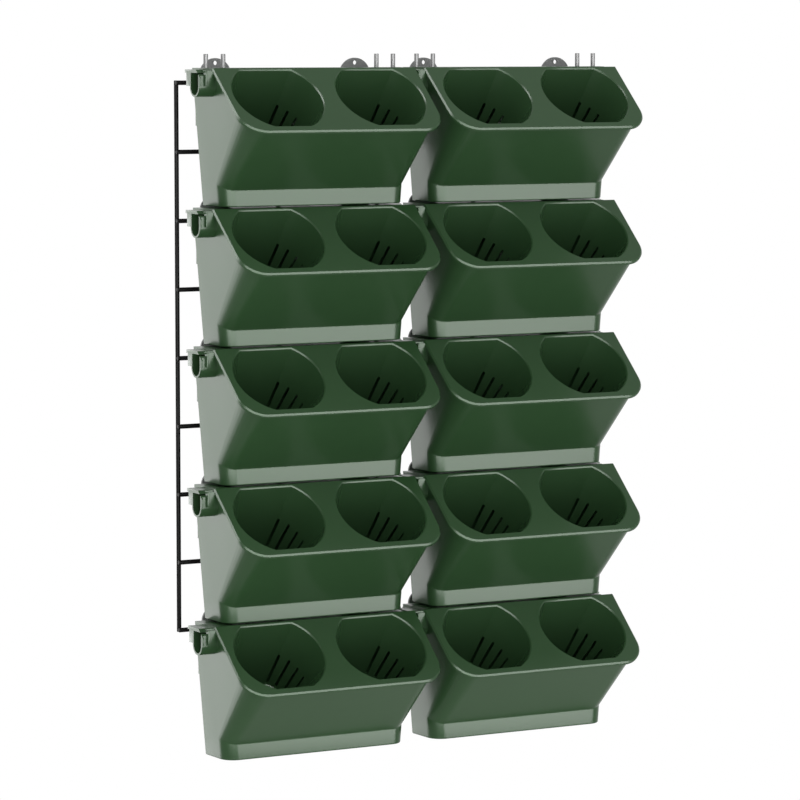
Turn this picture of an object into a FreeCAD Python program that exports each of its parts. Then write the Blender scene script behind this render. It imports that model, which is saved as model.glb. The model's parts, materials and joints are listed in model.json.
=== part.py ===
"""Wall planter set: ten double pots in two columns, hung on a welded wire grid.

Units are millimetres. +Z is up, the front of the set faces -Y.
The origin is the middle of the top row of hook holes, on the back face of the hook tongues.
Each pot is drawn about the middle of the top edge of its sloping planting plate.
"""
import FreeCAD
import Part
import math
import os
import re
import Sketcher
from FreeCAD import Vector

doc = FreeCAD.newDocument("wall_planter_set")
sheet = doc.addObject("Spreadsheet::Sheet", "Params")

SIZES = [
    # the array
    ("tier_gap", 1.7, "space between a pot and the one under it"),
    ("column_gap", 10.4, "space between the two columns"),
    # outer pot
    ("pot_width", 249.0, "outer width at the top"),
    ("pot_height", 148.3, "top of deck to underside of base"),
    ("deck_depth", 47.5, "plate top edge to back of pot"),
    ("band_reach", 1.2, "front of the base band, ahead of the plate top edge"),
    ("lip_set", 4.3, "front rim behind the lower edge of the plate, along the slope"),
    ("undercut_angle", 43.0, "slope of the front panel under the lip, from level"),
    ("side_draft", 4.0, "inward lean of each side"),
    ("edge_round", 13.0, "radius of the front side edges"),
    ("pot_wall", 2.2, "wall thickness of the pot"),
    ("seat_gap", 0.3, "running clearance between separate pieces"),
    # planting plate
    ("plate_angle", 41.2, "slope of the planting plate, from level"),
    ("plate_length", 100.5, "length of the plate down its slope"),
    ("plate_thick", 4.0, "thickness of the plate"),
    ("plate_corner", 20.0, "radius of the two lower corners"),
    ("plate_edge", 1.8, "rounding of the plate's upper rim"),
    # cups
    ("cup_web", 22.0, "plate between the two cups"),
    ("cup_margin", 10.5, "plate between a cup and the pot side"),
    ("cup_centre", 44.5, "cup centre down the slope"),
    ("cup_border_top", 3.5, "upper flat of a cup from the plate top edge"),
    ("cup_border_low", 9.3, "lower flat of a cup from the plate lower edge"),
    ("cup_depth", 84.0, "inner depth of a cup, square to the plate"),
    ("cup_taper", 10.8, "inward lean of the cup wall"),
    ("cup_wall", 1.8, "wall thickness of a cup"),
    ("slot_width", 3.0, "width of a drain slot"),
    ("slot_start", 47.0, "depth at which the drain slots begin"),
    ("slot_floor", 3.0, "slot end above the cup floor"),
    ("slot_first", 39.5, "angle of the first slot from the upper flat's middle"),
    ("slot_step", 16.2, "angle between slots"),
    # link spout on the left side and its notch on the right side
    ("spout_reach", 16.6, "spout length beyond the pot side"),
    ("spout_radius", 11.0, "outer radius of the trough"),
    ("spout_wall", 2.0, "trough wall thickness"),
    ("spout_back", 8.0, "trough centre behind the plate top edge"),
    ("spout_drop", 19.6, "trough round centre below the deck"),
    ("flange_drop", 1.5, "flange top below the deck"),
    ("flange_thick", 3.5, "thickness of the spout flange"),
    ("flange_depth", 31.5, "flange length from front to back"),
    ("rib_outer", 1.6, "thickness of the outer locking rib"),
    ("rib_slot", 4.5, "space between the ribs for the neighbour's wall"),
    ("rib_inner", 2.4, "thickness of the inner locking rib"),
    ("rib_drop", 19.0, "bottom of the ribs below the deck"),
    ("rib_stand", 3.2, "ribs standing out from the trough in front"),
    ("rib_stand_back", 9.0, "ribs standing out from the trough behind"),
    # water way
    ("stub_diameter", 5.0, "outside diameter of a feed stub"),
    ("stub_bore", 3.0, "bore of a feed stub"),
    ("stub_top", 14.8, "top of a stub above the deck"),
    ("stub_tail", 9.0, "stub length below the deck top"),
    ("stub_tail_width", 4.0, "width across the flats of the stub tail"),
    ("stub_back", 34.0, "stubs behind the plate top edge"),
    ("stub_side", 20.1, "middle of a pair from the side of the pot"),
    ("stub_pair_space", 20.8, "distance between the stubs of a pair"),
    ("drip_length", 20.0, "length of a drip inlet in the deck"),
    ("drip_width", 6.0, "width of a drip inlet in the deck"),
    # hook strips
    ("hook_side", 38.5, "hook strip centre from the side of the pot"),
    ("hook_width", 38.0, "width of the strip, twice the head radius"),
    ("hook_thick", 3.0, "thickness of the strip"),
    ("hook_back", 71.0, "back of the tongue behind the plate top edge"),
    ("hook_top", 10.2, "top of the tongue above the deck"),
    ("hook_corner", 9.0, "corner cut of the strips that take no screw"),
    ("hook_hole", 5.0, "diameter of the hole in the tongue"),
    ("hook_hole_edge", 5.2, "hole centre below the top of the tongue"),
    ("hook_base", 63.0, "upper side of the hook's lower bend, below the deck"),
    ("hook_lip", 12.0, "rear leg reaching below the wire centre"),
    ("hook_bend", 1.6, "outer bevel of the bends"),
    # loops on the back of the pot
    ("loop_wall", 3.2, "wall thickness of a loop"),
    ("loop_height", 40.0, "height of a loop"),
    # grid
    ("wire_diameter", 5.0, "diameter of the grid wires"),
    ("wire_back", 93.0, "level wires behind the plate top edge"),
    ("wire_drop", 16.5, "top wire below the top deck"),
    ("grid_half", 249.0, "outer upright wires from the middle"),
    ("weld_depth", 0.4, "how far crossing wires are welded into each other"),
]
TIERS = 5
UPRIGHTS = 5
SLOTS = 3
CUP_STAVES = 6
WIRE_SIDES = 10
TROUGH_SIDES = 6
BORE_SIDES = 8

for row, (name, value, note) in enumerate(SIZES, start=1):
    sheet.set("A%d" % row, name)
    sheet.set("B%d" % row, repr(value))
    sheet.set("C%d" % row, note)
    sheet.setAlias("B%d" % row, name)
doc.recompute()
NAMES = {name for name, value, note in SIZES}


def fx(text):
    """Turn a formula in size names into one that reads the spreadsheet."""
    def swap(match):
        word = match.group(0)
        return "Params." + word if word in NAMES else word
    return re.sub(r"[a-z][a-z_]*", swap, text)


def number(text):
    """Present value of a formula, for first positions."""
    value = sheet.evalExpression(fx(text))
    return float(getattr(value, "Value", value))


def bind(obj, prop, text):
    obj.setExpression(prop, fx(text))


def plane(body, role):
    for item in body.Origin.OriginFeatures:
        if item.Role == role:
            return item
    raise ValueError(role)


def new_sketch(body, label, role, lift=None):
    """Empty sketch on an origin plane of its own body, moved along the normal."""
    sk = body.newObject("Sketcher::SketchObject", label)
    sk.AttachmentSupport = [(plane(body, role), "")]
    sk.MapMode = "FlatFace"
    if lift:
        bind(sk, "AttachmentOffset.Base.z", lift)
    return sk


def hold(sk, kind, parts, text):
    index = sk.addConstraint(Sketcher.Constraint(kind, *parts, number(text)))
    bind(sk, "Constraints[%d]" % index, text)


def polygon(sk, points):
    """Closed outline; every corner is placed by a formula."""
    first = sk.GeometryCount
    spots = [Vector(number(x), number(y), 0) for x, y in points]
    count = len(points)
    for i in range(count):
        sk.addGeometry(Part.LineSegment(spots[i], spots[(i + 1) % count]), False)
    for i in range(count):
        after = first + (i + 1) % count
        sk.addConstraint(Sketcher.Constraint("Coincident", first + i, 2, after, 1))
    for i, (x, y) in enumerate(points):
        hold(sk, "DistanceX", (-1, 1, first + i, 1), x)
        hold(sk, "DistanceY", (-1, 1, first + i, 1), y)


def rectangle(sk, left, right, low, high):
    polygon(sk, [(left, low), (right, low), (right, high), (left, high)])


def circle(sk, x, y, diameter):
    mark = sk.addGeometry(Part.Circle(Vector(number(x), number(y), 0), Vector(0, 0, 1),
                                      number(diameter) / 2), False)
    hold(sk, "DistanceX", (-1, 1, mark, 3), x)
    hold(sk, "DistanceY", (-1, 1, mark, 3), y)
    hold(sk, "Diameter", (mark,), diameter)


def trough_outline(sk, radius, top):
    """U shape about the spout's middle: level top, upright sides, bottom of flat staves."""
    points = [("spout_back - (%s)" % radius, top)]
    for k in range(TROUGH_SIDES + 1):
        turn = "%s * 1 deg" % (180.0 * k / TROUGH_SIDES)
        points.append(("spout_back - (%s) * cos(%s)" % (radius, turn),
                       "-spout_drop - (%s) * sin(%s)" % (radius, turn)))
    points.append(("spout_back + (%s)" % radius, top))
    polygon(sk, points)


def pad(body, label, sk, length, middle=False, back=False, taper=None):
    item = body.newObject("PartDesign::Pad", label)
    item.Profile = sk
    item.Midplane = middle
    item.Reversed = back
    bind(item, "Length", length)
    if taper:
        bind(item, "TaperAngle", taper)
    sk.Visibility = False
    return item


def pocket(body, label, sk, length, middle=False, back=False, taper=None):
    item = body.newObject("PartDesign::Pocket", label)
    item.Profile = sk
    item.Midplane = middle
    item.Reversed = back
    bind(item, "Length", length)
    if taper:
        bind(item, "TaperAngle", taper)
    sk.Visibility = False
    return item


def edges_where(shape, test):
    return ["Edge%d" % i for i, edge in enumerate(shape.Edges, start=1) if test(edge)]


def fillet(body, label, base, edges, radius):
    if not edges:
        raise ValueError("no edges for " + label)
    item = body.newObject("PartDesign::Fillet", label)
    item.Base = (base, edges)
    bind(item, "Radius", radius)
    return item


def chamfer(body, label, base, edges, size):
    if not edges:
        raise ValueError("no edges for " + label)
    item = body.newObject("PartDesign::Chamfer", label)
    item.Base = (base, edges)
    bind(item, "Size", size)
    return item


TIER_PITCH = "(pot_height + tier_gap)"
COLUMN_PITCH = "(pot_width + column_gap)"
CUP_RADIUS = "((pot_width - cup_web) / 4 - cup_margin / 2)"
CUP_OFFSET = "(cup_web / 2 + %s)" % CUP_RADIUS
CUP_FLAT_TOP = "min(cup_centre - cup_border_top; %s - cup_wall)" % CUP_RADIUS
CUP_FLAT_LOW = "min(plate_length - cup_centre - cup_border_low; %s - cup_wall)" % CUP_RADIUS
HOOK_OFFSET = "(pot_width / 2 - hook_side)"
STUB_OFFSET = "(pot_width / 2 - stub_side)"
TAIL_REACH = "(stub_tail_width / 2 / cos(180 / %d * 1 deg))" % BORE_SIDES
PLATE_SIN = "sin(plate_angle * 1 deg)"
PLATE_COS = "cos(plate_angle * 1 deg)"
CUT_TAN = "tan(undercut_angle * 1 deg)"


def rim_point(along, inset):
    """Point under the plate plane, a distance down the slope; gives Y and Z formulas."""
    y = "(%s) * %s - (%s) * %s" % (inset, PLATE_SIN, along, PLATE_COS)
    z = "-(%s) * %s - (%s) * %s" % (inset, PLATE_COS, along, PLATE_SIN)
    return y, z


def crease_drop():
    """Depth below the deck at which the sloping front panel meets the base band."""
    y, z = rim_point("plate_length - lip_set", "plate_thick")
    return "((-band_reach - (%s)) * %s - (%s))" % (y, CUT_TAN, z)


def rim_front(inset, wall):
    """Distance down the slope at which the rim plane meets the front panel."""
    top = "((%s) * %s + band_reach - (%s) / sin(undercut_angle * 1 deg)" % (inset, PLATE_SIN, wall)
    top += " + (%s - (%s) * %s) / %s)" % (crease_drop(), inset, PLATE_COS, CUT_TAN)
    low = "(%s + %s / %s)" % (PLATE_COS, PLATE_SIN, CUT_TAN)
    return "%s / %s" % (top, low)


def pot_block(body, wall, seat, open_top):
    """Solid of the pot outline set in by a wall thickness; open_top carries it past the rim."""
    inset = "plate_thick"
    front = rim_front(inset, wall)
    y_front, z_front = rim_point(front, inset)
    y_seat, z_seat = rim_point("-(%s)" % seat, inset)
    crease = crease_drop()
    band = "-band_reach + (%s)" % wall
    lift = "(%s) / sin(undercut_angle * 1 deg)" % wall
    floor = "-pot_height + (%s)" % wall
    back = "deck_depth - (%s)" % wall
    deck = "-(%s)" % wall
    knee = "-(%s) + ((%s) - (%s)) * %s" % (crease, lift, wall, CUT_TAN)
    points = [(back, floor), (band, floor), (band, knee), (y_front, z_front)]
    if open_top:
        y_over, z_over = rim_point(front, "-plate_thick")
        y_edge, z_edge = rim_point("seat_gap", "-plate_thick")
        y_under = "(%s) - (%s) * %s / %s" % (y_edge, "(%s) - (%s)" % (deck, z_edge),
                                             PLATE_SIN, PLATE_COS)
        points += [(y_over, z_over), (y_edge, z_edge), (y_under, deck), (back, deck)]
    else:
        points += [(y_seat, z_seat), ("(%s) / %s" % (seat, PLATE_COS), "0"), (back, "0")]
    side = new_sketch(body, body.Name + "_profile", "YZ_Plane")
    polygon(side, points)
    block = pad(body, body.Name + "_block", side, "pot_width", middle=True)
    lean = new_sketch(body, body.Name + "_lean", "XZ_Plane")
    tan = "tan(side_draft * 1 deg)"
    shift = "(%s) / cos(side_draft * 1 deg)" % wall
    for sign in ("", "-"):
        polygon(lean, [("%s(pot_width / 2 - (%s) + edge_round * %s)" % (sign, shift, tan), "edge_round"),
                       ("%s(pot_width / 2 + edge_round)" % sign, "edge_round"),
                       ("%s(pot_width / 2 + edge_round)" % sign, "-pot_height - edge_round"),
                       ("%s(pot_width / 2 - (%s) - (pot_height + edge_round) * %s)" % (sign, shift, tan),
                        "-pot_height - edge_round")])
    cut = pocket(body, body.Name + "_draft", lean, "4 * deck_depth + 4 * plate_length", middle=True)
    doc.recompute()
    knee_y, knee_z = number(band), number(knee)
    low_z, least = number(floor), number("edge_round")

    def near(a, b):
        return abs(a - b) < 0.05

    def side_edge(edge):
        ends = [v.Point for v in edge.Vertexes]
        if len(ends) != 2 or ends[0].x * ends[1].x <= 0:
            return False
        marks = sorted((round(p.z, 3), round(p.y, 3)) for p in ends)
        (za, ya), (zb, yb) = marks
        upright = near(za, low_z) and near(zb, knee_z) and near(ya, knee_y) and near(yb, knee_y)
        slanting = near(za, knee_z) and near(ya, knee_y) and zb > knee_z + least and yb < knee_y - least
        return upright or slanting

    edges = edges_where(cut.Shape, side_edge)
    if open_top:
        return chamfer(body, body.Name + "_bevels", cut, edges, "edge_round * 0.62")
    return fillet(body, body.Name + "_rounds", cut, edges, "edge_round")


def make_pot():
    core = doc.addObject("PartDesign::Body", "pot_core")
    pot_block(core, "pot_wall", "0", True)
    body = doc.addObject("PartDesign::Body", "pot_pattern")
    pot_block(body, "0", "seat_gap", False)
    end = "pot_width / 2 + spout_reach"

    trough = new_sketch(body, "trough_outline", "YZ_Plane", "-(%s)" % end)
    trough_outline(trough, "spout_radius", "-flange_drop - flange_thick / 2")
    pad(body, "trough", trough, "spout_reach + 2 * pot_wall")

    flange = new_sketch(body, "flange_outline", "YZ_Plane", "-(%s)" % end)
    rectangle(flange, "seat_gap", "seat_gap + flange_depth",
              "-flange_drop - flange_thick", "-flange_drop")
    pad(body, "flange", flange, "spout_reach + pot_wall")

    for label, start, thick in (("rib_outside", end, "rib_outer"),
                                ("rib_inside", end + " - rib_outer - rib_slot", "rib_inner")):
        rib = new_sketch(body, label + "_outline", "YZ_Plane", "-(%s)" % start)
        rectangle(rib, "spout_back - spout_radius - rib_stand",
                  "spout_back + spout_radius + rib_stand_back",
                  "-rib_drop", "-flange_drop - flange_thick / 2")
        pad(body, label, rib, thick)

    join = body.newObject("PartDesign::Boolean", "hollow")
    join.Type = "Cut"
    join.setObjects([core])
    doc.recompute()

    bore = new_sketch(body, "bore_outline", "YZ_Plane", "-(%s) - 1" % end)
    trough_outline(bore, "spout_radius - spout_wall", "-flange_drop - flange_thick")
    pocket(body, "spout_bore", bore, "spout_reach + 4 * pot_wall", back=True)

    under = "plate_thick + seat_gap"
    low_y, low_z = rim_point("plate_corner", under)
    past_y, past_z = rim_point("-plate_corner", under)
    trim = new_sketch(body, "neighbour_relief", "YZ_Plane", "-(%s) - 1" % end)
    polygon(trim, [(low_y, low_z), (past_y, past_z), (low_y, past_z)])
    pocket(body, "relief", trim, "rib_outer + rib_slot + 1 + seat_gap", back=True)

    top_y, top_z = rim_point("-seat_gap", under)
    over_y, over_z = rim_point("-seat_gap", "-plate_thick")
    seat = new_sketch(body, "plate_seat", "YZ_Plane", "-pot_width / 2 - seat_gap")
    polygon(seat, [(low_y, low_z), (top_y, top_z), (over_y, over_z), (low_y, over_z)])
    pocket(body, "plate_room", seat, "2 * pot_wall", back=True)

    notch = new_sketch(body, "notch_outline", "YZ_Plane", "pot_width / 2 + 1")
    trough_outline(notch, "spout_radius + seat_gap", "1")
    pocket(body, "notch", notch, "spout_reach")

    step = new_sketch(body, "flange_seat", "YZ_Plane", "pot_width / 2 + 1")
    rectangle(step, "-plate_thick", "flange_depth + 3 * seat_gap",
              "-flange_drop - flange_thick - seat_gap", "1")
    pocket(body, "seat", step, "spout_reach - column_gap + 1 + 2 * seat_gap")

    deck = new_sketch(body, "drip_inlet", "XY_Plane", "1")
    floor = new_sketch(body, "drip_outlet", "XY_Plane", "-pot_height - 1")
    rectangle(deck, "-drip_length / 2", "drip_length / 2",
              "stub_back - drip_width / 2", "stub_back + drip_width / 2")
    rectangle(floor, "-drip_length / 2 + pot_wall", "drip_length / 2 - pot_wall",
              "stub_back - drip_width / 2 + pot_wall / 2", "stub_back + drip_width / 2 - pot_wall / 2")
    pocket(body, "inlet", deck, "pot_wall + 2")
    pocket(body, "outlet", floor, "pot_wall + 2", back=True)
    doc.recompute()
    return body


def copy_of(source, label, x, y, z, tilt=None):
    """Own body made from a pattern, in its own place."""
    body = doc.addObject("PartDesign::Body", label)
    body.Label = label
    body.BaseFeature = source
    if tilt:
        body.Placement.Rotation = FreeCAD.Rotation(Vector(1, 0, 0), 1)
        bind(body, "Placement.Rotation.Angle", tilt)
    bind(body, "Placement.Base.x", x)
    bind(body, "Placement.Base.y", y)
    bind(body, "Placement.Base.z", z)
    return body


def make_cup(label, grow, deep):
    """Cup form: a round of flat staves between two flats, all leaning in with depth."""
    body = doc.addObject("PartDesign::Body", label)
    plan = new_sketch(body, label + "_plan", "XY_Plane")
    radius = "(%s + %s)" % (CUP_RADIUS, grow)
    first = "acos((%s + %s) / %s)" % (CUP_FLAT_TOP, grow, radius)
    last = "(180 deg - acos((%s + %s) / %s))" % (CUP_FLAT_LOW, grow, radius)
    shares = [k / CUP_STAVES for k in range(CUP_STAVES + 1)]
    angles = ["(%s * %s + %s * %s)" % (1 - share, first, share, last) for share in shares]
    right = [("%s * sin(%s)" % (radius, a), "%s * cos(%s)" % (radius, a)) for a in angles]
    left = [("-" + x, y) for x, y in reversed(right)]
    polygon(plan, right + left)
    form = pad(body, label + "_straight", plan, deep, back=True)
    doc.recompute()
    walls = ["Face%d" % i for i, face in enumerate(form.Shape.Faces, start=1)
             if abs(face.normalAt(0, 0).z) < 0.5]
    lean = body.newObject("PartDesign::Draft", label + "_lean")
    lean.Base = (form, walls)
    lean.NeutralPlane = (plane(body, "XY_Plane"), [""])
    lean.Reversed = True
    bind(lean, "Angle", "cup_taper")
    doc.recompute()
    return body


def make_insert():
    """Planting plate and two slotted cups, drawn flat; the plate's top face is Z = 0."""
    body = doc.addObject("PartDesign::Body", "plate_pattern")
    plan = new_sketch(body, "plate_outline", "XY_Plane")
    rectangle(plan, "-pot_width / 2", "pot_width / 2", "-plate_length", "-seat_gap")
    plate = pad(body, "plate", plan, "plate_thick", back=True)
    doc.recompute()
    length = number("plate_length")

    def corner(edge):
        ends = [v.Point for v in edge.Vertexes]
        return len(ends) == 2 and all(abs(p.y + length) < 0.01 for p in ends) \
            and abs(ends[0].z - ends[1].z) > 1

    plate = fillet(body, "plate_corners", plate, edges_where(plate.Shape, corner), "plate_corner")
    doc.recompute()

    def rim(edge):
        return all(abs(v.Point.z) < 0.01 for v in edge.Vertexes) \
            and edge.CenterOfMass.y < -number("seat_gap") - 1

    chamfer(body, "plate_rim", plate, edges_where(plate.Shape, rim), "plate_edge")
    outside = make_cup("cup_outside", "cup_wall", "cup_depth + cup_wall")
    inside = make_cup("cup_inside", "0", "cup_depth")
    solids, hollows = [body], []
    for side, sign in (("left", "-"), ("right", "")):
        place = (sign + CUP_OFFSET, "-cup_centre", "0")
        solids.append(copy_of(outside, "cup_%s_outside" % side, *place))
        hollows.append(copy_of(inside, "cup_%s_inside" % side, *place))
    boxes = []
    for side, sign in (("left", "-"), ("right", "")):
        for turn in (1, -1):
            for k in range(SLOTS):
                box = doc.addObject("Part::Box", "slot_%s" % side)
                angle = "%d * (slot_first + %d * slot_step)" % (turn, k)
                reach = "(%s + cup_wall)" % CUP_RADIUS
                sin, cos = "sin((%s) * 1 deg)" % angle, "cos((%s) * 1 deg)" % angle
                bind(box, "Length", "slot_width")
                bind(box, "Width", "cup_depth * tan(cup_taper * 1 deg) + 4 * cup_wall")
                bind(box, "Height", "cup_depth - slot_floor - slot_start")
                box.Placement.Rotation = FreeCAD.Rotation(Vector(0, 0, 1), 0)
                bind(box, "Placement.Rotation.Angle", "180 - (%s)" % angle)
                bind(box, "Placement.Base.x",
                     "%s%s + %s * %s + slot_width / 2 * %s" % (sign, CUP_OFFSET, reach, sin, cos))
                bind(box, "Placement.Base.y",
                     "-cup_centre + %s * %s - slot_width / 2 * %s" % (reach, cos, sin))
                bind(box, "Placement.Base.z", "slot_floor - cup_depth")
                boxes.append(box)
    form = doc.addObject("Part::MultiFuse", "insert_form")
    form.Shapes = solids
    openings = doc.addObject("Part::MultiFuse", "insert_openings")
    openings.Shapes = hollows + boxes
    item = doc.addObject("Part::Cut", "insert_pattern")
    item.Base = form
    item.Tool = openings
    doc.recompute()
    return item


def make_hook(label, screwed):
    """Flat strip bent over the level wire, with a tongue the pot's loop slides down onto."""
    body = doc.addObject("PartDesign::Body", label)
    side = new_sketch(body, label + "_profile", "YZ_Plane")
    front = "hook_back - hook_thick"
    under = "-hook_base - hook_thick"
    leg = "wire_back - wire_diameter / 2 - seat_gap"
    rear = "wire_back + wire_diameter / 2 + seat_gap"
    over = "-wire_drop + wire_diameter / 2 + seat_gap"
    high = over + " + hook_thick"
    tip = "-wire_drop - hook_lip"
    polygon(side, [(front, under + " + hook_bend"), (front + " + hook_bend", under),
                   (leg + " - hook_bend", under), (leg, under + " + hook_bend"), (leg, over),
                   (rear, over), (rear, tip), (rear + " + hook_thick", tip),
                   (rear + " + hook_thick", high + " - hook_bend"),
                   (rear + " + hook_thick - hook_bend", high),
                   (leg + " - hook_thick + hook_bend", high),
                   (leg + " - hook_thick", high + " - hook_bend"),
                   (leg + " - hook_thick", "-hook_base"), ("hook_back", "-hook_base"),
                   ("hook_back", "hook_top"), (front, "hook_top")])
    strip = pad(body, label + "_strip", side, "hook_width", middle=True)
    doc.recompute()
    top = number("hook_top")

    def head(edge):
        ends = [v.Point for v in edge.Vertexes]
        return len(ends) == 2 and all(abs(p.z - top) < 0.01 for p in ends) \
            and abs(ends[0].y - ends[1].y) > 1

    ends = edges_where(strip.Shape, head)
    if not screwed:
        chamfer(body, label + "_head", strip, ends, "hook_corner")
    else:
        fillet(body, label + "_head", strip, ends, "hook_width / 2 - 0.01")
        hole = new_sketch(body, label + "_hole_outline", "XZ_Plane", "-hook_back - 1")
        circle(hole, "0", "hook_top - hook_hole_edge", "hook_hole")
        pocket(body, label + "_hole", hole, "hook_thick + 2", back=True)
    doc.recompute()
    return body


def make_loop():
    """Square strap on the back of a pot; it slides down over the tongue of a hook strip."""
    body = doc.addObject("PartDesign::Body", "loop_pattern")
    plan = new_sketch(body, "loop_outline", "XY_Plane", "-hook_base + seat_gap")
    inner = "(hook_width / 2 + seat_gap)"
    outer = "(%s + loop_wall)" % inner
    eye = "hook_back + seat_gap"
    polygon(plan, [("-" + outer, "deck_depth"), ("-" + inner, "deck_depth"), ("-" + inner, eye),
                   (inner, eye), (inner, "deck_depth"), (outer, "deck_depth"),
                   (outer, eye + " + loop_wall"), ("-" + outer, eye + " + loop_wall")])
    pad(body, "loop_strap", plan, "loop_height")
    doc.recompute()
    return body


def make_stub():
    """Short tube standing on the deck, with a narrower eight-sided tail pressed into it."""
    outside = doc.addObject("Part::Cylinder", "stub_outside")
    bind(outside, "Radius", "stub_diameter / 2")
    bind(outside, "Height", "stub_top")
    tail = doc.addObject("Part::Prism", "stub_tail_form")
    bind(tail, "Circumradius", TAIL_REACH)
    bind(tail, "Height", "stub_tail")
    bore = doc.addObject("Part::Prism", "stub_inside")
    bind(bore, "Circumradius", "stub_bore / 2")
    bind(bore, "Height", "stub_top + stub_tail")
    for item in (tail, bore):
        item.Polygon = BORE_SIDES
        bind(item, "Placement.Base.z", "-stub_tail")
    form = doc.addObject("Part::Fuse", "stub_form")
    form.Base = outside
    form.Tool = tail
    tube = doc.addObject("Part::Cut", "stub_pattern")
    tube.Base = form
    tube.Tool = bore
    doc.recompute()
    return tube


def stub_holes(body):
    """Holes in the deck of a top pot for its feed stubs."""
    deck = new_sketch(body, body.Label + "_stub_holes", "XY_Plane", "1")
    for sign in ("", "-"):
        for half in ("+", "-"):
            middle = "%s(%s %s stub_pair_space / 2)" % (sign, STUB_OFFSET, half)
            polygon(deck, [("%s + %s * cos(%s * 1 deg)" % (middle, TAIL_REACH, turn),
                            "stub_back + %s * sin(%s * 1 deg)" % (TAIL_REACH, turn))
                           for turn in (360.0 * k / BORE_SIDES for k in range(BORE_SIDES))])
    pocket(body, body.Label + "_stub_seats", deck, "pot_wall + 2")


def group(label, items):
    item = doc.addObject("Part::Compound", label)
    item.Label = label
    item.Links = items
    return item


def make_wire(label, x, y, z, length, level):
    item = doc.addObject("Part::Prism", label)
    item.Polygon = WIRE_SIDES
    bind(item, "Circumradius", "wire_diameter / 2")
    bind(item, "Height", length)
    if level:
        item.Placement.Rotation = FreeCAD.Rotation(Vector(0, 1, 0), 90)
    bind(item, "Placement.Base.x", x)
    bind(item, "Placement.Base.y", y)
    bind(item, "Placement.Base.z", z)
    return item


pot = make_pot()
insert = make_insert()
screw_hook = make_hook("screw_hook_pattern", True)
plain_hook = make_hook("plain_hook_pattern", False)
loop = make_loop()
stub = make_stub()
nodes = []
COLUMNS = (("left", "-%s / 2" % COLUMN_PITCH), ("right", "%s / 2" % COLUMN_PITCH))
for tier in range(TIERS):
    height = "hook_hole_edge - hook_top - %d * %s" % (tier, TIER_PITCH)
    hooks = []
    loops = []
    for side, middle in COLUMNS:
        name = "%d_%s" % (tier + 1, side)
        shell = copy_of(pot, "pot_" + name, middle, "-hook_back", height)
        if tier == 0:
            stub_holes(shell)
        nodes.append(shell)
        nodes.append(copy_of(insert, "insert_" + name, middle, "-hook_back", height, "plate_angle"))
        for sign in ("-", "+"):
            place = ("%s %s %s" % (middle, sign, HOOK_OFFSET), "-hook_back", height)
            hooks.append(copy_of(plain_hook if tier else screw_hook, "hook_strip", *place))
            loops.append(copy_of(loop, "loop", *place))
        if tier == 0:
            stubs = []
            for sign in ("-", ""):
                for half in ("+", "-"):
                    place = "%s + %s(%s %s stub_pair_space / 2)" % (middle, sign, STUB_OFFSET, half)
                    stubs.append(copy_of(stub, "stub", place, "stub_back - hook_back", height))
            nodes.append(group("feed_stubs_" + side, stubs))
    nodes.append(group("loops_%d" % (tier + 1), loops))
    nodes.append(group("hooks_%d" % (tier + 1), hooks))

first = "hook_hole_edge - hook_top - wire_drop"
levels = []
for k in range(2 * TIERS - 1):
    levels.append(make_wire("level_wire", "-grid_half - wire_diameter / 2", "wire_back - hook_back",
                            first + " - %d * %s / 2" % (k, TIER_PITCH), "2 * grid_half + wire_diameter", True))
uprights = []
for k in range(UPRIGHTS):
    uprights.append(make_wire("upright_wire", "-grid_half + %d * 2 * grid_half / %d" % (k, UPRIGHTS - 1),
                              "wire_back - hook_back + wire_diameter - weld_depth",
                              first + " - %d * %s - wire_diameter / 2" % (TIERS - 1, TIER_PITCH),
                              "%d * %s + wire_diameter" % (TIERS - 1, TIER_PITCH), False))
nodes.append(group("grid_levels", levels))
nodes.append(group("grid_uprights", uprights))
doc.recompute()

for item in doc.Objects:
    if "Invalid" in item.State or "Error" in item.State:
        raise ValueError("%s did not build" % item.Label)
os.makedirs("parts", exist_ok=True)
for item in nodes:
    shape = item.Shape
    if shape.isNull() or not shape.isValid() or not shape.Solids:
        raise ValueError("%s has no valid solid" % item.Label)
    shape.exportStep("parts/%s.step" % item.Label)
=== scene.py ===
"""Wall planter set: the looks of ten double pots, their lift-out inserts, hooks, stubs and grid."""
import json
from math import cos, pi, radians, sin, tan

import bmesh
import bpy
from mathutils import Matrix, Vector
from mathutils.geometry import intersect_point_line

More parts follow.
